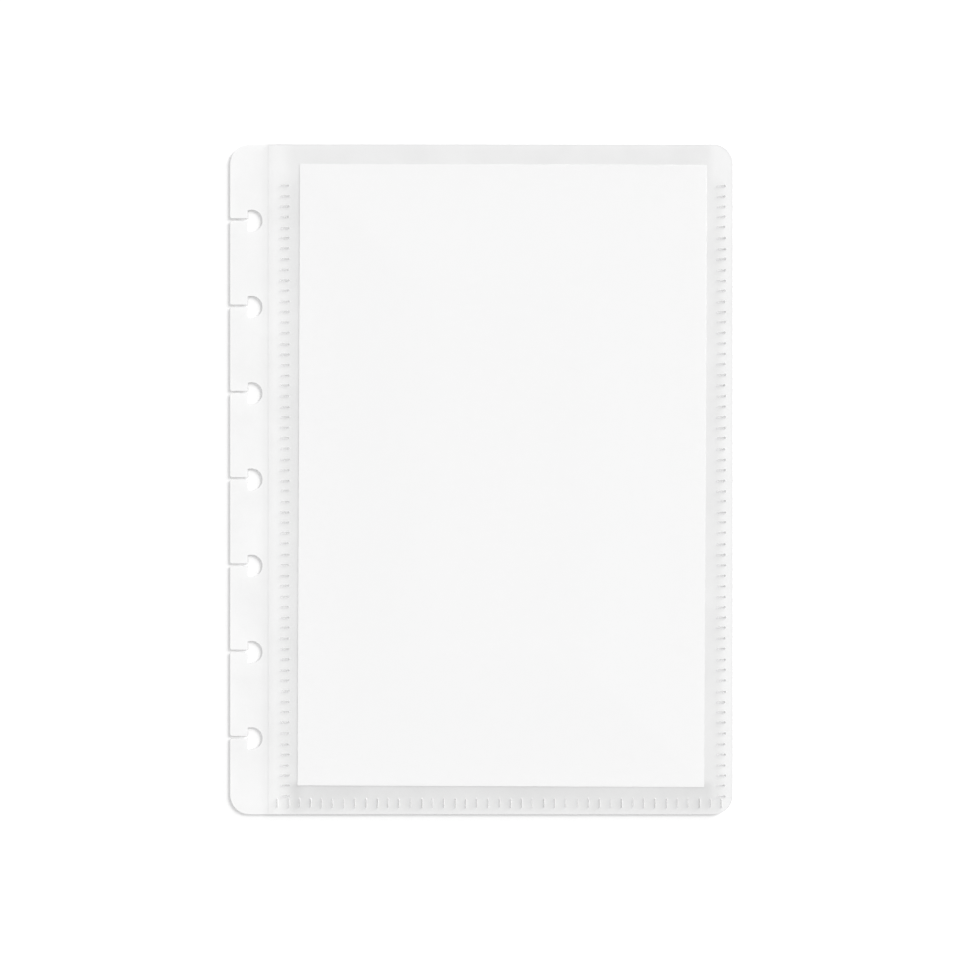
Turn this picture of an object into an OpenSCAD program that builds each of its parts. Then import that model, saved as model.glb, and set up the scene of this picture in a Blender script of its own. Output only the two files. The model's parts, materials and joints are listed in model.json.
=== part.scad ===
// Cover of a disc-bound planner: a punched plastic sheet with a clear pocket welded to it, and a card in the pocket.
// The sheet lies flat on its back. X runs from the binding edge to the outer edge, Y up to the pocket's mouth.

/* [Cover sheet] */
// Width of the sheet, from the binding edge to the outer edge
cover_w = 148; // [120:0.5:220]
// Height of the sheet
cover_h = 197.3; // [185:0.1:300]
// Thickness of the sheet
cover_t = 0.8; // [0.5:0.05:1.5]
// Radius of the sheet's rounded corners
corner_r = 5.8; // [2:0.1:9]

/* [Disc binding] */
// Number of disc holes in the binding edge
hole_count = 7; // [3:1:7]
// Distance from one disc hole to the next
hole_pitch = 25.4; // [14:0.1:29]
// Radius of the round side of a disc hole
hole_r = 3.2; // [2.5:0.05:5]
// Distance from the flat side of a disc hole to the centre of its round side
hole_flat = 1.05; // [0.5:0.05:2]
// Width of the slit that opens a disc hole to the binding edge
slit_w = 0.7; // [0.4:0.1:2]
// Distance of a slit above the centre of its hole
slit_rise = 0.3; // [0:0.05:0.8]
// Distance from the binding edge to the flat side of the holes
hole_inset = 5.25; // [4:0.05:9]
// Radius of the tabs' corners beside the slits
tab_tip_r = 0.6; // [0.2:0.1:1.5]
// Angle that a tab bends to each side
tab_bend = 30; // [10:1:45]

/* [Tab roots] */
// Distance from the holes' far ends back to the line where the tabs bend
root_inset = 0.8; // [0.4:0.1:1.5]
// Flat land above and below the round edge of a tab's root
root_land = 0.05; // [0.02:0.01:0.1]
// Running clearance round a tab's root
root_clearance = 0.03; // [0.01:0.01:0.1]
// Distance that a root stops short of a hole and of the sheet's ends
root_end = 0.5; // [0.2:0.1:2]

/* [Pocket film] */
// Thickness of the clear film
film_t = 0.25; // [0.15:0.01:0.5]
// Distance from the disc holes to the film's edge
film_margin = 1.9; // [0.5:0.05:5]
// Height of the free lip at the pocket's mouth
lip_h = 11; // [6:0.5:30]
// Gap along the lip's fold line
fold_gap = 0.05; // [0.02:0.01:0.2]

/* [Weld seams] */
// Length of a weld mark
weld_len = 3; // [1.5:0.1:5]
// Width of a weld mark
weld_w = 0.5; // [0.3:0.05:1]
// Depth of a weld mark below the film's face
weld_sink = 0.1; // [0.02:0.01:0.14]
// Distance from one weld mark to the next in a side seam, before the marks are spread evenly
side_pitch = 3.1; // [1.5:0.01:8]
// Distance from one weld mark to the next in the bottom seam, before the marks are spread evenly
foot_pitch = 3.27; // [1.5:0.01:8]
// Distance from the film's binding-side edge to the left seam
left_margin = 3.3; // [0.5:0.1:8]
// Distance from the sheet's outer and bottom edges to their seams
edge_margin = 1.8; // [0.5:0.1:8]
// Distance from the film's binding-side edge to the middle of the first bottom mark
foot_start = 2.4; // [1:0.1:10]
// Distance from the middle of the last bottom mark to the sheet's outer edge
foot_stop = 3.4; // [2:0.1:10]
// Distance from the lip's fold line to the middle of the first side mark
side_start = 1.1; // [0.6:0.1:10]
// Distance from the middle of the last side mark to the bottom seam
side_stop = 0.5; // [0.4:0.1:10]

/* [Insert card] */
// Thickness of the card
card_t = 0.25; // [0.1:0.01:1]
// Clearance above and below the card in the pocket
card_clearance = 0.05; // [0.02:0.01:0.3]
// Clearance between the card and the left seam
card_left_gap = 2.5; // [1:0.05:10]
// Clearance between the card and the right seam
card_right_gap = 3.25; // [1:0.05:10]
// Clearance between the card and the bottom seam
card_foot = 3.5; // [1:0.05:10]
// Distance from the sheet's top edge down to the card
card_head = 5.9; // [2:0.1:20]
// Angle that the card has turned in the loose pocket
card_skew = 0.23; // [0:0.01:0.3]

/* [Hidden] */
$fn = 64;

// The sheet's edges, with the origin under the middle of its back face
left_x = -cover_w / 2;
right_x = cover_w / 2;
bottom_y = -cover_h / 2;
top_y = cover_h / 2;

// The row of holes is centred on the sheet's height
flat_x = left_x + hole_inset;
hole_x = flat_x + hole_flat;
hole_end_x = hole_x + hole_r;
function hole_y(i) = (i - (hole_count + 1) / 2) * hole_pitch;
function tab_end(i) = i == 0 ? bottom_y : i == hole_count + 1 ? top_y : hole_y(i);
function is_slit(i) = i > 0 && i <= hole_count;

// Each tab's root is a half-round bead in a groove of the panel, wide enough apart for the bend
root_x = hole_end_x - root_inset;
root_z = cover_t / 2;
root_r = cover_t / 2 - root_land;
groove_r = root_r + root_clearance;
panel_x = root_x + cover_t / 2 * sin(tab_bend) + root_clearance;
root_hole_half = sqrt(hole_r ^ 2 - (hole_r - root_inset) ^ 2);
function root_stop(i) = (is_slit(i) ? root_hole_half : 0) + root_end;

// The film lies over the card, and each weld mark reaches from the sheet up into its slot in the film
film_x = hole_end_x + film_margin;
film_z = cover_t + card_t + 2 * card_clearance;
fold_y = top_y - lip_h;
weld_h = film_z + film_t - weld_sink - cover_t;

// The low side of each row of weld marks
left_seam_x = film_x + left_margin;
right_seam_x = right_x - edge_margin - weld_len;
foot_seam_y = bottom_y + edge_margin;
foot_top_y = foot_seam_y + weld_len;

// The middles of a row's marks, spread evenly from its first to its last
function row(first, last, pitch) =
    let (steps = round(abs(last - first) / pitch))
    [for (i = [0 : steps]) first + (last - first) * i / steps];
side_row = row(fold_y - side_start, foot_top_y + side_stop, side_pitch);
foot_row = row(film_x + foot_start, right_x - foot_stop, foot_pitch);

// The card fits between the seams
card_left = left_seam_x + weld_len + card_left_gap;
card_right = right_seam_x - card_right_gap;
card_bottom = foot_top_y + card_foot;
card_top = top_y - card_head;
card_z = cover_t + card_clearance;

// Cuts run past the faces that they open
cut_past = 1;

// A rectangle given by two opposite corners
module span(low, high) {
    translate(low)
        square(high - low);
}

// What is cut off a square corner at the origin, whose sheet lies towards +X and +Y, to round it
module corner_waste(r) {
    difference() {
        translate([-cut_past, -cut_past])
            square(r + cut_past);
        translate([r, r])
            circle(r);
    }
}

// The sheet's whole outline, before the tabs are cut from it
module cover_outline() {
    difference() {
        span([left_x, bottom_y], [right_x, top_y]);
        for (mx = [0, 1], my = [0, 1])
            mirror([mx, 0])
                mirror([0, my])
                    translate([left_x, bottom_y])
                        corner_waste(corner_r);
    }
}

// The part of the outline between two heights and two sides
module outline_between(low, high) {
    intersection() {
        cover_outline();
        span(low, high);
    }
}

// The disc holes: round, with a flat side towards the binding edge
module disc_holes() {
    for (i = [1 : hole_count])
        intersection() {
            translate([hole_x, hole_y(i)])
                circle(hole_r);
            span([flat_x, hole_y(i) - hole_r - cut_past], [hole_end_x + cut_past, hole_y(i) + hole_r + cut_past]);
        }
}

// A round bar along the tabs' root line
module root_bar(r, low_y, high_y) {
    translate([root_x, low_y, root_z])
        rotate([-90, 0, 0])
            cylinder(r = r, h = high_y - low_y);
}

module back_panel() {
    color("gainsboro", 0.6)
        difference() {
            linear_extrude(cover_t)
                difference() {
                    outline_between([panel_x, bottom_y], [right_x, top_y]);
                    disc_holes();
                }
            root_bar(groove_r, bottom_y - cut_past, top_y + cut_past);
        }
}

module binding_tab(i) {
    low_y = tab_end(i - 1) + (is_slit(i - 1) ? slit_rise + slit_w / 2 : 0);
    high_y = tab_end(i) + (is_slit(i) ? slit_rise - slit_w / 2 : 0);
    color("gainsboro", 0.6)
        union() {
            linear_extrude(cover_t)
                difference() {
                    outline_between([left_x, low_y], [root_x, high_y]);
                    disc_holes();
                    if (is_slit(i - 1))
                        translate([left_x, low_y])
                            corner_waste(tab_tip_r);
                    if (is_slit(i))
                        translate([left_x, high_y])
                            mirror([0, 1])
                                corner_waste(tab_tip_r);
                }
            root_bar(root_r, tab_end(i - 1) + root_stop(i - 1), tab_end(i) - root_stop(i));
        }
}

// The weld marks of a side seam, as they lie in plan
module side_marks(x) {
    for (y = side_row)
        translate([x, y - weld_w / 2])
            square([weld_len, weld_w]);
}

// The weld marks of the bottom seam, as they lie in plan
module foot_marks() {
    for (x = foot_row)
        translate([x - weld_w / 2, foot_seam_y])
            square([weld_w, weld_len]);
}

module pocket_film() {
    color("whitesmoke", 0.3)
        translate([0, 0, film_z])
            linear_extrude(film_t)
                difference() {
                    outline_between([film_x, bottom_y], [right_x, fold_y - fold_gap]);
                    side_marks(left_seam_x);
                    side_marks(right_seam_x);
                    foot_marks();
                }
}

module pocket_lip() {
    color("whitesmoke", 0.3)
        translate([0, 0, film_z])
            linear_extrude(film_t)
                outline_between([film_x, fold_y], [right_x, top_y]);
}

module weld_seam() {
    color("lightgray", 0.8)
        translate([0, 0, cover_t])
            linear_extrude(weld_h)
                children();
}

module left_weld_seam() {
    weld_seam()
        side_marks(left_seam_x);
}

module right_weld_seam() {
    weld_seam()
        side_marks(right_seam_x);
}

module bottom_weld_seam() {
    weld_seam()
        foot_marks();
}

module insert_card() {
    card_size = [card_right - card_left, card_top - card_bottom, card_t];
    color("white")
        translate([(card_left + card_right) / 2, (card_bottom + card_top) / 2, card_z])
            rotate(-card_skew)
                translate([-card_size.x / 2, -card_size.y / 2, 0])
                    cube(card_size);
}

back_panel();
for (i = [1 : hole_count + 1])
    binding_tab(i);
pocket_film();
pocket_lip();
left_weld_seam();
right_weld_seam();
bottom_weld_seam();
insert_card();
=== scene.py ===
"""Looks of a disc-bound planner cover.

A frosted sheet with punched tabs has a clear pocket welded on it, with a white card in the pocket. The cover
lies on its back and is seen from straight above. All lengths are in metres.
"""
import json
import math
import random
from collections import namedtuple

import bmesh
import bpy
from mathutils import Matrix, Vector
from mathutils.geometry import delaunay_2d_cdt


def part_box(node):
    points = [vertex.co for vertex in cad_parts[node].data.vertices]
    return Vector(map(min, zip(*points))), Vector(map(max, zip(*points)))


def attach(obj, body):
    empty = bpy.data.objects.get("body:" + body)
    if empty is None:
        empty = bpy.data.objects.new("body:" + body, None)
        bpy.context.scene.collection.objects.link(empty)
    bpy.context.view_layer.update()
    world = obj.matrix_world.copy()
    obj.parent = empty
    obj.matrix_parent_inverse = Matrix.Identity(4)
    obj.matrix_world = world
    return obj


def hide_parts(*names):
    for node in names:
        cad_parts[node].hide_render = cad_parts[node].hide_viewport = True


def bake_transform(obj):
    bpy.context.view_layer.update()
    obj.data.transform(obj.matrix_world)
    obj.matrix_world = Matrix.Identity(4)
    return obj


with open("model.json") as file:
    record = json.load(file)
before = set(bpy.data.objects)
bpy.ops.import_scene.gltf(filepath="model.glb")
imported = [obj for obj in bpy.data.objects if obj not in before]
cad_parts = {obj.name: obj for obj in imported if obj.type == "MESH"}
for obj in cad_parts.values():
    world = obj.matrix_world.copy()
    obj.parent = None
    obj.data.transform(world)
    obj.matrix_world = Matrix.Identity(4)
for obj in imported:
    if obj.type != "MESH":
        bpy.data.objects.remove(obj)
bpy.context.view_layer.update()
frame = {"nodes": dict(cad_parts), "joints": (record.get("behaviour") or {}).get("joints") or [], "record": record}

MM = 0.001
MICRON = 0.000001

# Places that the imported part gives
MOUNTS = {m["name"]: m for m in frame["record"]["mounts"]}
JOINTS = {j["name"]: j for j in frame["joints"]}
SHEET_LOW, SHEET_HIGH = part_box("back_panel")
FILM_LOW, FILM_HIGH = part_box("pocket_film")
CARD_LOW, CARD_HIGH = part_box("insert_card")
LEFT_SEAM_LOW, LEFT_SEAM_HIGH = (corner.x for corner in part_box("left_weld_seam"))
RIGHT_SEAM_LOW, RIGHT_SEAM_HIGH = (corner.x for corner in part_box("right_weld_seam"))
FOOT_SEAM_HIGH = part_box("bottom_weld_seam")[1].y
LEFT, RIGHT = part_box("binding_tab_1")[0].x, SHEET_HIGH.x
BOTTOM, TOP = SHEET_LOW.y, SHEET_HIGH.y
SHEET_T = SHEET_HIGH.z
FILM_LEFT = FILM_LOW.x
FILM_T = FILM_HIGH.z - FILM_LOW.z
HOLES = [Vector(m["pos_m"]) for n, m in MOUNTS.items() if n.startswith("disc_hole")]
HOLE_R = MOUNTS["disc_hole_1"]["dims"]["r_mm"] * MM
HOLE_END = HOLES[0].x + HOLE_R
SLIT_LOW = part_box("binding_tab_1")[1].y - HOLES[0].y
SLIT_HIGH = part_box("binding_tab_2")[0].y - HOLES[0].y
ROOT_X = JOINTS["tab_1_bend"]["pos_m"][0]
FOLD_Y = JOINTS["lip_lift"]["pos_m"][1]

# Sizes of the sheet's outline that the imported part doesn't name, and the steps of its arcs
CORNER_R = 5.8 * MM
CORNER_STEPS = 16
TIP_R = 0.6 * MM
TIP_STEPS = 8
HOLE_FLAT = 1.05 * MM
HOLE_STEPS = 32

# The sheet's skin is in pieces that meet along a line just past the holes, where the tabs' bend begins
SEAM_MARGIN = 0.5 * MM
SEAM_X = HOLE_END + SEAM_MARGIN
BEND_CUTS = 12
CUT_SNAP = MICRON / 10
RIM_R = 0.05 * MM
RIM_SEGMENTS = 4
ROUND_PROFILE = 0.5

# Material slots of a sheet, after the first one for its face: its edges, and faces against other pieces
EDGE_SLOT = 1
INNER_SLOT = 2

# Edges that turn by more than this stay sharp on the pieces with smooth shading
SHARP_ANGLE = math.radians(40)

# The film is pressed on the sheet along its seams, rises over the card and curls up beside the holes
FILM_GAP = 0.01 * MM
FILM_PRESSED = SHEET_T + FILM_GAP + FILM_T
FLAP_CURL = 0.12 * MM
FILM_GRID = 5 * MM
RAMP_STEPS = 10
MARGIN_STEPS = 3
EDGE_SPACING = 2 * MM

# The film and its lip meet just below the fold line, and the lip bends from there to as far above it
FOLD_MARGIN = 0.6 * MM
FILM_SPLIT = FOLD_Y - FOLD_MARGIN
LIP_BEND_END = 2 * FOLD_Y - FILM_SPLIT
LIP_EDGE_SPACING = 0.25 * MM
SPLIT_LEFT_STEPS = 4
SPLIT_CARD_STEPS = 24

# The film's triangles: a kind that leaves the slots open, and how near two points are one, in millimetres
OPEN_SLOTS = 2
SAME_POINT = 0.00001

# Painted shade on the sheet behind the film, for the card's soft shadow in the pocket. The first number is the
# sheet's white there against its white beside the film. The tones are multiples of that loss: left of the card,
# below the card from its edge to the sheet's, and a painted shadow along the film's left edge. The fades and the
# onset are the widths over which the tones come and go
POCKET_SHADE_WHITE = 0.93
LEFT_SHADOW_TONE = 1.4
FOOT_SHADOW_TONES = (2.45, 1.1)
FILM_EDGE_SHADOW_TONE = 0.55
CARD_FADE = 2.5 * MM
MOUTH_FADE = 4 * MM
EDGE_ONSET = 0.2 * MM
EDGE_FADE = 2 * MM

# Weld marks are sunk grooves with a rim of plastic pushed up round them. A style gives the radii and the fused
# grey of a mark's near and far ends, and the most whitening of its rim on its right and left sides, seen from its
# near end. The grey is partly painted shade, darkest at the side marks' right ends, and the rim's white is partly
# a painted highlight, strongest on the foot marks' right sides
Mark = namedtuple("Mark", "centre half_l angle flash style")
Style = namedtuple("Style", "radii burns most_flash")
LEFT_STYLE = Style((0.16 * MM, 0.23 * MM), (0.5, 0.8), (0.2, 0.2))
RIGHT_STYLE = Style((0.12 * MM, 0.28 * MM), (0.45, 1), (0.2, 0.2))
FOOT_STYLE = Style((0.11 * MM, 0.11 * MM), (0.55, 0.22), (0.7, 0.1))
ALONG_X, ALONG_Y = 0, 1
SEAMS = {"left": (ALONG_X, LEFT_STYLE), "right": (ALONG_X, RIGHT_STYLE), "bottom": (ALONG_Y, FOOT_STYLE)}
MARK_FIT = 0.01 * MM
MARK_SINK = 0.1 * MM
GROOVE_EDGE = 0.02 * MM
GROOVE_TAPER = 0.05 * MM
FLASH_W = 0.16 * MM
FLASH_H = 0.05 * MM
FAR_STEPS = 12
NEAR_STEPS = 6

# The film's grid has no points within this room round a weld mark
MARK_ROOM = 2 * FLASH_W

# How far the weld marks differ: their length and rim whitening, partly a painted highlight, as shares,
# their place, and their angle in degrees
LENGTH_SHARES = (0.86, 0.98)
FLASH_AND_HIGHLIGHT_SHARES = (0.2, 1)
PLACE_SCATTER = 0.18 * MM
ANGLE_SCATTER = 1.5

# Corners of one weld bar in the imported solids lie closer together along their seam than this
BAR_GAP = 1 * MM

# The card's edges rest on the sheet, and its middle bows up a little
CARD_EDGE_T = 0.08 * MM
CARD_RIM_R = CARD_EDGE_T / 4
CARD_BOW_W = 55 * MM
CARD_BOW_STEPS = 20

# Sizes and depths of the patterns in the materials, and how they are drawn out along X, Y and Z
CLOUD_SIZE = 14 * MM
GRAIN_SIZE = 0.35 * MM
GRAIN_DEPTH = 6 * MICRON
DIE_LINE_SIZE = 0.12 * MM
DIE_LINE_DEPTH = 8 * MICRON
DIE_LINE_STRETCH = (1, 1, 0.15)
EDGE_CLOUD_SIZE = 3 * MM
SCUFF_SIZE = 1.2 * MM
SCUFF_STRETCH = (1, 0.12, 1)
WAVE_SIZE = 18 * MM
WAVE_DEPTH = 40 * MICRON
RIPPLE_SIZE = 0.3 * MM
RIPPLE_DEPTH = 10 * MICRON
TOOTH_SIZE = 0.25 * MM
TOOTH_DEPTH = 5 * MICRON
FIBRE_SIZE = 0.5 * MM
FIBRE_STRETCH = (0.2, 1, 1)

# Noise lies mostly between these levels
NOISE_LOW = 0.3
NOISE_HIGH = 0.7

# Gloss of the plastics, how much duller the film's waves are, and how steeply its glare grows with the slant
PLASTIC_IOR = 1.49
FILM_IOR = 1.46
WAVE_SHADE = 0.06
GLARE_POWER = 5

# Light on a level face: shares of a soft key, of a low light that rakes over the cover, and of an even fill
KEY = 0.36
RAKE = 0.1
FILL = 0.57
LIGHT_AZIMUTH = math.radians(36)
KEY_ELEVATION = math.radians(37)
KEY_SPREAD = math.radians(25)
RAKE_ELEVATION = math.radians(8)
RAKE_SPREAD = math.radians(10)
WHITE = (1, 1, 1, 1)

# The floor lies just below the cover's back
FLOOR_HALF = 3
FLOOR_DROP = 0.01 * MM
FLOOR_WHITE = (0.95, 0.95, 0.95, 1)
FLOOR_GLOW = 0.12

# The photograph's frame, and the lens that it is seen with
FRAME_WIDTH = 282.7 * MM
FRAME_MIDDLE = Vector((-0.4 * MM, -0.16 * MM))
LENS = 85
SENSOR = 36
CLIP_START = 10 * MM


# Nodes of materials

def set_inputs(tree, node, inputs):
    """Sets a node's inputs, each to a number or to the socket that feeds it."""
    for name, source in inputs.items():
        if isinstance(source, bpy.types.NodeSocket):
            tree.links.new(source, node.inputs[name])
        else:
            node.inputs[name].default_value = source


def add(tree, kind, inputs=None, **settings):
    """Adds a node with its inputs and settings."""
    node = tree.nodes.new(kind)
    for name, setting in settings.items():
        setattr(node, name, setting)
    set_inputs(tree, node, inputs or {})
    return node


def new_material(name):
    """A Principled material, with the place on the object, in metres, to draw patterns by."""
    material = bpy.data.materials.new(name)
    material.use_nodes = True
    tree = material.node_tree
    place = add(tree, "ShaderNodeTexCoord").outputs["Object"]
    return material, tree, tree.nodes["Principled BSDF"], place


def spread(tree, value, low, high, start=NOISE_LOW, stop=NOISE_HIGH):
    """Spreads a value that runs from start to stop between two levels."""
    levels = {"Value": value, "From Min": start, "From Max": stop, "To Min": low, "To Max": high}
    return add(tree, "ShaderNodeMapRange", levels).outputs["Result"]


def rise(tree, value, start, stop):
    """Rises smoothly from 0 at start to 1 at stop."""
    levels = {"Value": value, "From Min": start, "From Max": stop}
    return add(tree, "ShaderNodeMapRange", levels, interpolation_type="SMOOTHSTEP").outputs["Result"]


def math_node(tree, operation, a, b):
    """The result of a sum, product or the like of two values."""
    return add(tree, "ShaderNodeMath", {0: a, 1: b}, operation=operation).outputs[0]


def multiply(tree, a, b):
    """The product of two values."""
    return math_node(tree, "MULTIPLY", a, b)


def noise(tree, place, size, detail=3):
    """Noise with grains of about that size."""
    settings = {"Vector": place, "Scale": 1 / size, "Detail": detail}
    return add(tree, "ShaderNodeTexNoise", settings).outputs["Fac"]


def stretched(tree, place, along):
    """The place with its axes scaled, to draw out a pattern."""
    return add(tree, "ShaderNodeVectorMath", {0: place, 1: along}, operation="MULTIPLY").outputs["Vector"]


def mesh_value(tree, name):
    """A value that the mesh holds at its points."""
    return add(tree, "ShaderNodeAttribute", attribute_name=name).outputs["Fac"]


def bump(tree, height, depth):
    """The normal of a surface that is raised by a pattern of that depth."""
    levels = {"Height": height, "Strength": 1, "Distance": depth}
    return add(tree, "ShaderNodeBump", levels).outputs["Normal"]


# Materials

def painted_pocket_shade(tree, place):
    """Painted shade: 0 off the pocket, 1 in it, more left of and below the card, and beside the film's left edge.
    """
    axes = add(tree, "ShaderNodeSeparateXYZ", {"Vector": place}).outputs
    x, y = axes["X"], axes["Y"]
    left = rise(tree, x, (FILM_LEFT + LEFT_SEAM_LOW) / 2, CARD_LOW.x)
    left = multiply(tree, left, spread(tree, x, LEFT_SHADOW_TONE, 1, CARD_LOW.x, CARD_LOW.x + CARD_FADE))
    pocket = multiply(tree, left, rise(tree, x, RIGHT_SEAM_HIGH, RIGHT_SEAM_LOW))
    mouth_left = rise(tree, x, LEFT_SEAM_LOW, CARD_LOW.x)
    mouth_right = rise(tree, x, RIGHT_SEAM_LOW, CARD_HIGH.x)
    mouth = math_node(tree, "MINIMUM", mouth_left, mouth_right)
    above_fold = rise(tree, y, FOLD_Y - MOUTH_FADE, FOLD_Y + MOUTH_FADE)
    tone = spread(tree, above_fold, pocket, mouth, 0, 1)
    foot = multiply(tree, rise(tree, y, CARD_LOW.y + CARD_FADE, CARD_LOW.y), mouth)
    foot_shadow_tone = spread(tree, y, *FOOT_SHADOW_TONES, CARD_LOW.y, BOTTOM)
    tone = multiply(tree, tone, spread(tree, foot, 1, foot_shadow_tone, 0, 1))
    edge = spread(tree, x, 0, FILM_EDGE_SHADOW_TONE, FILM_LEFT - EDGE_ONSET, FILM_LEFT)
    edge = multiply(tree, edge, rise(tree, x, FILM_LEFT + EDGE_FADE, FILM_LEFT))
    return math_node(tree, "MAXIMUM", tone, edge)


def frosted_plastic(name, has_pocket_shade):
    """The sheet's faces: cloudy, with a fine leathery grain, and if asked painted shade behind the pocket's film.
    """
    material, tree, shader, place = new_material(name)
    cloud = noise(tree, place, CLOUD_SIZE)
    grain = noise(tree, place, GRAIN_SIZE)
    white = spread(tree, cloud, 0.965, 0.985)
    if has_pocket_shade:
        # Painted shade: the card's soft shadow in the pocket darkens the sheet's white
        painted_shade = multiply(tree, painted_pocket_shade(tree, place), 1 - POCKET_SHADE_WHITE)
        white = multiply(tree, white, math_node(tree, "SUBTRACT", 1, painted_shade))
    set_inputs(tree, shader, {
        "Base Color": white,
        "Roughness": spread(tree, grain, 0.34, 0.48),
        "Alpha": spread(tree, cloud, 0.88, 0.92),
        "IOR": PLASTIC_IOR,
        "Normal": bump(tree, grain, GRAIN_DEPTH),
    })
    return material


def cut_edge():
    """The sheet's punched edges: clearer and a little greyer than its faces, with the die's fine lines."""
    material, tree, shader, place = new_material("cut_edge")
    lines = noise(tree, stretched(tree, place, DIE_LINE_STRETCH), DIE_LINE_SIZE)
    set_inputs(tree, shader, {
        "Base Color": spread(tree, lines, 0.92, 0.97),
        "Roughness": spread(tree, lines, 0.4, 0.6),
        "Alpha": spread(tree, noise(tree, place, EDGE_CLOUD_SIZE), 0.5, 0.6),
        "IOR": PLASTIC_IOR,
        "Normal": bump(tree, lines, DIE_LINE_DEPTH),
    })
    return material


def clear_film(name, white, faint, dense):
    """Clear film: faint from above, glossy and more visible at a slant, with light scuffs."""
    material, tree, shader, place = new_material(name)
    scuffs = noise(tree, stretched(tree, place, SCUFF_STRETCH), SCUFF_SIZE, detail=6)
    waves = noise(tree, place, WAVE_SIZE)
    slant = add(tree, "ShaderNodeLayerWeight", {"Blend": 0.5}).outputs["Facing"]
    glare = math_node(tree, "POWER", slant, GLARE_POWER)
    set_inputs(tree, shader, {
        "Base Color": spread(tree, waves, white - WAVE_SHADE, white),
        "Roughness": spread(tree, scuffs, 0.1, 0.24),
        "Alpha": spread(tree, glare, faint, dense, 0, 1),
        "IOR": FILM_IOR,
        "Normal": bump(tree, waves, WAVE_DEPTH),
    })
    return material


def fused_plastic():
    """Melted film and sheet: grey, partly painted shade, a clear rim, partly painted highlight, no two the same.
    """
    material, tree, shader, place = new_material("fused_plastic")
    burn = mesh_value(tree, "burn")
    flash = mesh_value(tree, "flash")
    each = add(tree, "ShaderNodeNewGeometry").outputs["Random Per Island"]
    ripple = noise(tree, place, RIPPLE_SIZE)
    depth = multiply(tree, burn, spread(tree, each, 0.5, 0.64, 0, 1))
    set_inputs(tree, shader, {
        "Base Color": spread(tree, burn, 0.97, 0.5, 0, 1),
        "Roughness": spread(tree, ripple, 0.2, 0.4),
        "Alpha": math_node(tree, "MAXIMUM", depth, flash),
        "IOR": PLASTIC_IOR,
        "Normal": bump(tree, ripple, RIPPLE_DEPTH),
    })
    return material


def card_stock():
    """White card with a faint tooth and fibres."""
    material, tree, shader, place = new_material("card_stock")
    tooth = noise(tree, place, TOOTH_SIZE, detail=5)
    fibres = noise(tree, stretched(tree, place, FIBRE_STRETCH), FIBRE_SIZE, detail=4)
    set_inputs(tree, shader, {
        "Base Color": spread(tree, fibres, 0.92, 0.935),
        "Roughness": spread(tree, tooth, 0.72, 0.86),
        "Specular IOR Level": 0.3,
        "Normal": bump(tree, tooth, TOOTH_DEPTH),
    })
    return material


FROSTED = frosted_plastic("frosted_plastic", has_pocket_shade=False)
# The sheet behind the pocket, with painted shade round the card
SHADED_POCKET_BACKING = frosted_plastic("pocket_backing", has_pocket_shade=True)
CUT_EDGE = cut_edge()
FILM = clear_film("clear_film", white=0.9, faint=0.008, dense=0.4)
FILM_BACK = clear_film("film_back", white=0.9, faint=0.004, dense=0.05)
FILM_EDGE = clear_film("film_edge", white=0.5, faint=0.38, dense=0.6)
FUSED = fused_plastic()
CARD = card_stock()


# Shapes

def steps(start, stop, count):
    """Evenly spaced values from one to another, with both of them."""
    return [start + (stop - start) * k / count for k in range(count + 1)]


def ramp(value, start, stop):
    """Rises smoothly from 0 at start to 1 at stop."""
    t = min(max((value - start) / (stop - start), 0), 1)
    return t * t * (3 - 2 * t)


def arc(centre, r, start, stop, count):
    """Points of an arc from one angle to another, in degrees."""
    angles = [math.radians(a) for a in steps(start, stop, count)]
    return [Vector((centre[0] + r * math.cos(a), centre[1] + r * math.sin(a))) for a in angles]


def add_mesh(name, bm, materials):
    """Puts a bmesh into the scene as an object."""
    mesh = bpy.data.meshes.new(name)
    bm.to_mesh(mesh)
    bm.free()
    for material in materials:
        mesh.materials.append(material)
    made = bpy.data.objects.new(name, mesh)
    bpy.context.scene.collection.objects.link(made)
    return made


def make_piece(name, bm, materials, is_smooth=False):
    """Turns a bmesh into a piece of the cover, smooth between its sharp edges if that is asked for."""
    piece = add_mesh(name, bm, materials)
    if is_smooth:
        piece.data.shade_smooth()
        piece.data.set_sharp_from_angle(angle=SHARP_ANGLE)
    return piece


def slab(outline, low_z, high_z, rim_r, is_seam=None):
    """A closed sheet with an outline and rounded rims. Walls for which is_seam is true stay square."""
    bm = bmesh.new()
    lower = [bm.verts.new((p.x, p.y, low_z)) for p in outline]
    upper = [bm.verts.new((p.x, p.y, high_z)) for p in outline]
    bm.faces.new(lower[::-1])
    bm.faces.new(upper)
    rims = []
    for i in range(len(outline)):
        wall = bm.faces.new((lower[i - 1], lower[i], upper[i], upper[i - 1]))
        if is_seam and is_seam(wall.calc_center_median()):
            wall.material_index = INNER_SLOT
        else:
            wall.material_index = EDGE_SLOT
            rims += [e for e in wall.edges if e.verts[0].co.z == e.verts[1].co.z]
    # The bevel goes by the faces' normals, which a new mesh doesn't have yet
    bm.normal_update()
    bmesh.ops.bevel(
        bm, geom=rims, offset=rim_r, segments=RIM_SEGMENTS, profile=ROUND_PROFILE,
        affect="EDGES", clamp_overlap=False, material=EDGE_SLOT,
    )
    for face in bm.faces:
        face.smooth = face.material_index == EDGE_SLOT
    return bm


# Sheet

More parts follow.
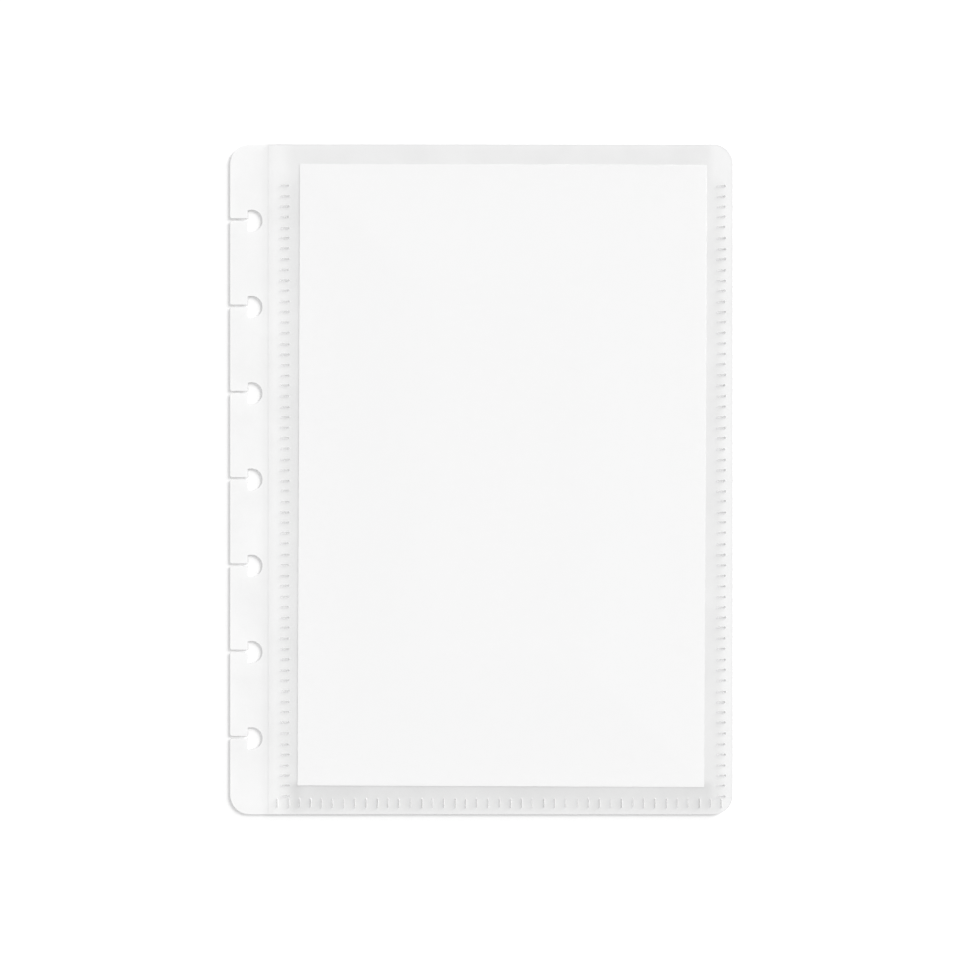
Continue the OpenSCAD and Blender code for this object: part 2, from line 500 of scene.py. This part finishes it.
def tab_outline(i):
    """The sheet left of the seam line, from one slit and hole, or the sheet's lower end, to the next."""
    flat_x = HOLES[0].x - HOLE_FLAT
    flat_angle = math.degrees(math.acos(-HOLE_FLAT / HOLE_R))
    points = []
    if i == 1:
        points += arc((LEFT + CORNER_R, BOTTOM + CORNER_R), CORNER_R, 180, 270, CORNER_STEPS)
        points += [Vector((SEAM_X, BOTTOM))]
    else:
        hole = HOLES[i - 2]
        slit_y = hole.y + SLIT_HIGH
        points += arc((LEFT + TIP_R, slit_y + TIP_R), TIP_R, 180, 270, TIP_STEPS)
        points += [Vector((flat_x, slit_y))]
        points += arc(hole, HOLE_R, flat_angle, 0, HOLE_STEPS)
        points += [Vector((SEAM_X, hole.y))]
    if i > len(HOLES):
        points += [Vector((SEAM_X, TOP))]
        points += arc((LEFT + CORNER_R, TOP - CORNER_R), CORNER_R, 90, 180, CORNER_STEPS)
    else:
        hole = HOLES[i - 1]
        slit_y = hole.y + SLIT_LOW
        points += [Vector((SEAM_X, hole.y))]
        points += arc(hole, HOLE_R, 0, -flat_angle, HOLE_STEPS)
        points += [Vector((flat_x, slit_y))]
        points += arc((LEFT + TIP_R, slit_y - TIP_R), TIP_R, 90, 180, TIP_STEPS)
    return points


def panel_outline():
    """The sheet right of the seam line."""
    points = [Vector((SEAM_X, BOTTOM))]
    points += arc((RIGHT - CORNER_R, BOTTOM + CORNER_R), CORNER_R, 270, 360, CORNER_STEPS)
    points += arc((RIGHT - CORNER_R, TOP - CORNER_R), CORNER_R, 0, 90, CORNER_STEPS)
    return points + [Vector((SEAM_X, TOP))]


def at_seam(point):
    """True on the walls where the sheet's pieces meet, and not on its outer edges."""
    return HOLE_END < point.x < SEAM_X + MICRON and BOTTOM + MICRON < point.y < TOP - MICRON


def cut_across(bm, xs):
    """Cuts lines across a piece so that it can bend between them."""
    for x in xs:
        everything = bm.verts[:] + bm.edges[:] + bm.faces[:]
        bmesh.ops.bisect_plane(bm, geom=everything, dist=CUT_SNAP, plane_co=(x, 0, 0), plane_no=(1, 0, 0))


def make_panel():
    """The sheet behind the pocket."""
    bm = slab(panel_outline(), 0, SHEET_T, RIM_R, at_seam)
    panel = make_piece("cover_panel", bm, [SHADED_POCKET_BACKING, CUT_EDGE, FILM])
    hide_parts("back_panel")
    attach(panel, "cover")


def make_tab(i):
    """One binding tab, which bends smoothly at its root."""
    bend_end = 2 * ROOT_X - SEAM_X
    bm = slab(tab_outline(i), 0, SHEET_T, RIM_R, at_seam)
    cut_across(bm, steps(SEAM_X, bend_end, BEND_CUTS)[1:])
    tab = make_piece(f"cover_tab_{i}", bm, [FROSTED, CUT_EDGE, FILM])
    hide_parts(f"binding_tab_{i}")
    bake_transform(tab)


# Weld marks

def mark_middles(node, axis):
    """The middles of a seam's bars along an axis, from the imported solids."""
    places = sorted(v.co[axis] for v in frame["nodes"][node].data.vertices)
    breaks = [k for k in range(1, len(places)) if places[k] - places[k - 1] > BAR_GAP]
    return [(places[a] + places[b - 1]) / 2 for a, b in zip([0] + breaks, breaks + [len(places)])]


def seam_marks(node, along, style):
    """A seam's marks, each a little off the regular row and within its bar's length."""
    low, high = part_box(node)
    across = 1 - along
    chance = random.Random(node)
    middles = mark_middles(node, across)
    reach = (high[along] - low[along]) / 2 - FLASH_W
    marks = []
    for middle in middles:
        half_l = reach * chance.uniform(*LENGTH_SHARES)
        centre = [0, 0]
        centre[along] = (low[along] + high[along]) / 2 + (reach - half_l) * chance.uniform(-1, 1)
        place = middle + chance.uniform(-PLACE_SCATTER, PLACE_SCATTER)
        centre[across] = min(max(place, middles[0]), middles[-1])
        angle = 90 * along + chance.uniform(-ANGLE_SCATTER, ANGLE_SCATTER)
        flash = [most * chance.uniform(*FLASH_AND_HIGHLIGHT_SHARES) for most in style.most_flash]
        marks.append(Mark(centre, half_l, angle, flash, style))
    return marks


def mark_ring(mark, grow):
    """A mark's outline, grown by some width: a bar with round ends, of which the far one may be wider."""
    near_r, far_r = mark.style.radii
    reach = 180 - math.degrees(math.asin((near_r + grow) / (far_r + grow)))
    ring = arc((mark.half_l - far_r, 0), far_r + grow, -reach, reach, FAR_STEPS)
    ring += arc((near_r - mark.half_l, 0), near_r + grow, 90, 270, NEAR_STEPS)
    turn = math.radians(mark.angle)
    c, s = math.cos(turn), math.sin(turn)
    return [Vector((mark.centre[0] + p.x * c - p.y * s, mark.centre[1] + p.x * s + p.y * c)) for p in ring]


def make_marks(name, node, marks):
    """A seam's marks, each on the sheet in its film slot: a rim round a groove, grey partly as painted shade."""
    # The rings' growth, height and grey (partly painted shade), from the sheet up the rim and down into the groove
    rings = [
        (FLASH_W - MARK_FIT, SHEET_T + FILM_GAP, 0),
        (FLASH_W - MARK_FIT, FILM_PRESSED, 0),
        (FLASH_W / 2, FILM_PRESSED + FLASH_H, 0),
        (GROOVE_EDGE, FILM_PRESSED, 0.5),
        (-GROOVE_TAPER, FILM_PRESSED - MARK_SINK, 1),
    ]
    bm = bmesh.new()
    burn = bm.verts.layers.float.new("burn")
    flash = bm.verts.layers.float.new("flash")
    for mark in marks:
        loops = []
        for grow, z, burnt_and_shaded in rings:
            loops.append([bm.verts.new((p.x, p.y, z)) for p in mark_ring(mark, grow)])
            # A ring runs from right to left round the far end, and back round the near end
            for k, vert in enumerate(loops[-1]):
                is_far = k <= FAR_STEPS
                is_left = FAR_STEPS / 2 < k < FAR_STEPS + 1 + NEAR_STEPS / 2
                # The ends' grey is partly painted shade, and the sides' whitening partly a painted highlight
                vert[burn] = burnt_and_shaded * mark.style.burns[is_far]
                vert[flash] = mark.flash[is_left] * (1 - burnt_and_shaded)
        for lower, upper in zip(loops, loops[1:]):
            for k in range(len(lower)):
                bm.faces.new((lower[k - 1], lower[k], upper[k], upper[k - 1]))
        bm.faces.new(loops[0][::-1])
        bm.faces.new(loops[-1])
    piece = make_piece(name, bm, [FUSED], is_smooth=True)
    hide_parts(node)
    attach(piece, "cover")


# Film

def flap_curl(x):
    """How far the film's free edge beside the holes has curled up, from 0 at its seam to 1 at its edge."""
    return (max(LEFT_SEAM_LOW - x, 0) / (LEFT_SEAM_LOW - FILM_LEFT)) ** 2


def film_top(x, y):
    """Height of the film's upper face."""
    lift = min(
        ramp(x, LEFT_SEAM_HIGH, CARD_LOW.x),
        ramp(x, RIGHT_SEAM_LOW, CARD_HIGH.x),
        ramp(y, FOOT_SEAM_HIGH, CARD_LOW.y),
    )
    return FILM_PRESSED + (FILM_HIGH.z - FILM_PRESSED) * lift + FLAP_CURL * flap_curl(x)


def grid_steps(start, stop):
    """Values from one to another, about a cell of the film's grid apart."""
    return steps(start, stop, round((stop - start) / FILM_GRID))


def film_grid(low_y, high_y):
    """Points over the film, close together across its ramps and wide apart where it is flat."""
    xs = steps(FILM_LEFT, LEFT_SEAM_LOW, MARGIN_STEPS)[1:]
    xs += steps(LEFT_SEAM_HIGH, CARD_LOW.x, RAMP_STEPS)
    xs += grid_steps(CARD_LOW.x, CARD_HIGH.x)[1:-1]
    xs += steps(CARD_HIGH.x, RIGHT_SEAM_LOW, RAMP_STEPS) + [RIGHT_SEAM_HIGH]
    ys = steps(FOOT_SEAM_HIGH, CARD_LOW.y, RAMP_STEPS)
    ys += grid_steps(CARD_LOW.y, FILM_SPLIT)[1:]
    ys += steps(FILM_SPLIT, LIP_BEND_END, RAMP_STEPS)[1:]
    ys += steps(LIP_BEND_END, TOP, MARGIN_STEPS)[1:-1]
    return [Vector((x, y)) for x in xs for y in ys if low_y < y < high_y]


def film_split():
    """Points along the line where the film and its lip meet, the same on both."""
    xs = steps(FILM_LEFT, LEFT_SEAM_HIGH, SPLIT_LEFT_STEPS)
    xs += steps(LEFT_SEAM_HIGH, CARD_LOW.x, RAMP_STEPS)[1:]
    xs += steps(CARD_LOW.x, CARD_HIGH.x, SPLIT_CARD_STEPS)[1:]
    xs += steps(CARD_HIGH.x, RIGHT_SEAM_LOW, RAMP_STEPS)[1:]
    xs += steps(RIGHT_SEAM_LOW, RIGHT, MARGIN_STEPS)[1:]
    return [Vector((x, FILM_SPLIT)) for x in xs]


def edge_points(start, stop, spacing):
    """Points along a straight edge, without the last one."""
    count = max(round((stop - start).length / spacing), 1)
    return [start.lerp(stop, k / count) for k in range(count)]


def near(point, mark, room):
    """True if a point is in a mark's rounded outline, grown by some room."""
    half_w = max(mark.style.radii)
    turn = math.radians(mark.angle)
    d = Vector((point[0] - mark.centre[0], point[1] - mark.centre[1]))
    along = d.x * math.cos(turn) + d.y * math.sin(turn)
    across = d.y * math.cos(turn) - d.x * math.sin(turn)
    return math.hypot(max(abs(along) - (mark.half_l - half_w), 0), across) < half_w + room


def film_sheet(name, outline, marks, low_y, high_y):
    """A film of even thickness, draped over the card, with a slot for each mark."""
    points = []
    loops = []
    for loop in [outline] + [mark_ring(m, FLASH_W) for m in marks]:
        loops.append(list(range(len(points), len(points) + len(loop))))
        points += loop
    points += [p for p in film_grid(low_y, high_y) if not any(near(p, m, MARK_ROOM) for m in marks)]
    plan = [p / MM for p in points]
    flat, _, triangles, sources, _, _ = delaunay_2d_cdt(plan, [], loops, OPEN_SLOTS, SAME_POINT)
    bm = bmesh.new()
    upper = []
    lower = []
    for x, y in (p * MM for p in flat):
        z = film_top(x, y)
        upper.append(bm.verts.new((x, y, z)))
        lower.append(bm.verts.new((x, y, z - FILM_T)))
    for t in triangles:
        bm.faces.new([upper[k] for k in t])
        bm.faces.new([lower[k] for k in reversed(t)]).material_index = INNER_SLOT
    sides = {(t[k - 1], t[k]) for t in triangles for k in range(3)}
    for a, b in sides:
        if (b, a) not in sides:
            wall = bm.faces.new((upper[a], lower[a], lower[b], upper[b]))
            if abs(wall.calc_center_median().y - FILM_SPLIT) < MICRON:
                wall.material_index = INNER_SLOT
            elif min(sources[a]) < len(outline):
                wall.material_index = EDGE_SLOT
    bmesh.ops.delete(bm, geom=[v for v in bm.verts if not v.link_faces], context="VERTS")
    return make_piece(name, bm, [FILM, FILM_EDGE, FILM_BACK], is_smooth=True)


def make_film(marks):
    """The film below the lip, which is welded to the sheet on three sides."""
    split = film_split()
    low_corner = Vector((FILM_LEFT, BOTTOM))
    outline = edge_points(low_corner, Vector((RIGHT - CORNER_R, BOTTOM)), EDGE_SPACING)
    outline += arc((RIGHT - CORNER_R, BOTTOM + CORNER_R), CORNER_R, 270, 360, CORNER_STEPS)
    outline += edge_points(outline.pop(), split[-1], EDGE_SPACING) + split[::-1]
    outline += edge_points(outline.pop(), low_corner, EDGE_SPACING)
    film = film_sheet("pocket_sheet", outline, marks, BOTTOM, FILM_SPLIT)
    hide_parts("pocket_film")
    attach(film, "cover")


def make_lip():
    """The film's free lip at the pocket's mouth, which bends along the fold line."""
    split = film_split()
    high_corner = Vector((FILM_LEFT, TOP))
    outline = split[:-1] + edge_points(split[-1], Vector((RIGHT, TOP - CORNER_R)), LIP_EDGE_SPACING)
    outline += arc((RIGHT - CORNER_R, TOP - CORNER_R), CORNER_R, 0, 90, CORNER_STEPS)
    outline += edge_points(outline.pop(), high_corner, EDGE_SPACING)
    outline += edge_points(high_corner, split[0], LIP_EDGE_SPACING)
    lip = film_sheet("pocket_mouth_lip", outline, [], FILM_SPLIT, TOP)
    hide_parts("pocket_lip")
    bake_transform(lip)


# Card

def make_card():
    """The card, a little turned in its pocket."""
    middle = (CARD_LOW + CARD_HIGH) / 2
    top = [v.co for v in frame["nodes"]["insert_card"].data.vertices if v.co.z > middle.z]
    corners = {(p.x > middle.x, p.y > middle.y): Vector((p.x, p.y)) for p in top}
    outline = [corners[k] for k in ((False, False), (True, False), (True, True), (False, True))]
    rest_z = SHEET_T + FILM_GAP
    bm = slab(outline, rest_z, rest_z + CARD_EDGE_T, CARD_RIM_R)
    face = max(bm.faces, key=lambda f: f.calc_center_median().z)
    bow = CARD_HIGH.z - rest_z - CARD_EDGE_T
    levels = [bow * ramp(k, 0, CARD_BOW_STEPS) for k in range(CARD_BOW_STEPS + 1)]
    width = CARD_BOW_W / CARD_BOW_STEPS
    for low, high in zip(levels, levels[1:]):
        bmesh.ops.inset_individual(bm, faces=[face], thickness=width, depth=high - low)
    card = make_piece("white_card", bm, [CARD, CARD])
    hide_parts("insert_card")
    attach(card, "card")


# Stage

def seen_rays(tree):
    """1 for rays that show a surface, to the camera or in gloss and glass, and 0 for all others."""
    rays = add(tree, "ShaderNodeLightPath").outputs
    seen = rays["Is Camera Ray"]
    for kind in ("Is Glossy Ray", "Is Transmission Ray"):
        seen = math_node(tree, "MAXIMUM", seen, rays[kind])
    return seen


def make_floor():
    """A floor that is white to the camera and keeps the cover's shadow."""
    material, tree, shader, _ = new_material("floor")
    tree.nodes.remove(shader)
    glow = multiply(tree, seen_rays(tree), FLOOR_GLOW)
    paint = add(tree, "ShaderNodeBsdfDiffuse", {"Color": FLOOR_WHITE})
    light = add(tree, "ShaderNodeEmission", {"Strength": glow})
    both = add(tree, "ShaderNodeAddShader", {0: paint.outputs[0], 1: light.outputs[0]})
    tree.links.new(both.outputs[0], tree.nodes["Material Output"].inputs["Surface"])
    bm = bmesh.new()
    bmesh.ops.create_grid(bm, x_segments=1, y_segments=1, size=FLOOR_HALF)
    floor = add_mesh("floor", bm, [material])
    floor.location.z = -FLOOR_DROP


def make_sun(name, share, elevation, spread_angle):
    """A far lamp that gives a level face that share of white, without a glare to hide the pale cover."""
    sun = bpy.data.lights.new(name, "SUN")
    sun.energy = share * math.pi / math.sin(elevation)
    sun.angle = spread_angle
    lamp = bpy.data.objects.new(name, sun)
    to_light = Vector((math.cos(LIGHT_AZIMUTH), math.sin(LIGHT_AZIMUTH), math.tan(elevation)))
    lamp.rotation_euler = to_light.to_track_quat("Z", "Y").to_euler()
    lamp.visible_glossy = False
    bpy.context.scene.collection.objects.link(lamp)


def make_light():
    """A soft key and a low light from the upper right, and an even fill."""
    make_sun("key", KEY, KEY_ELEVATION, KEY_SPREAD)
    make_sun("rake", RAKE, RAKE_ELEVATION, RAKE_SPREAD)
    world = bpy.data.worlds.new("studio")
    world.use_nodes = True
    tree = world.node_tree
    level = spread(tree, seen_rays(tree), FILL, 1, 0, 1)
    set_inputs(tree, tree.nodes["Background"], {"Color": WHITE, "Strength": level})
    bpy.context.scene.world = world


def make_camera():
    """A camera straight above the cover, with the photograph's frame."""
    camera = bpy.data.cameras.new("camera")
    camera.lens = LENS
    camera.sensor_width = SENSOR
    camera.clip_start = CLIP_START
    seat = bpy.data.objects.new("camera", camera)
    seat.location = (*FRAME_MIDDLE, SHEET_T + FRAME_WIDTH * LENS / SENSOR)
    bpy.context.scene.collection.objects.link(seat)
    bpy.context.scene.camera = seat


make_panel()
for number in range(1, len(HOLES) + 2):
    make_tab(number)
all_marks = []
for side, (along, style) in SEAMS.items():
    side_marks = seam_marks(f"{side}_weld_seam", along, style)
    make_marks(f"{side}_weld_marks", f"{side}_weld_seam", side_marks)
    all_marks += side_marks
make_film(all_marks)
make_lip()
make_card()
make_floor()
make_light()
make_camera()
bpy.context.scene.view_settings.view_transform = "Standard"
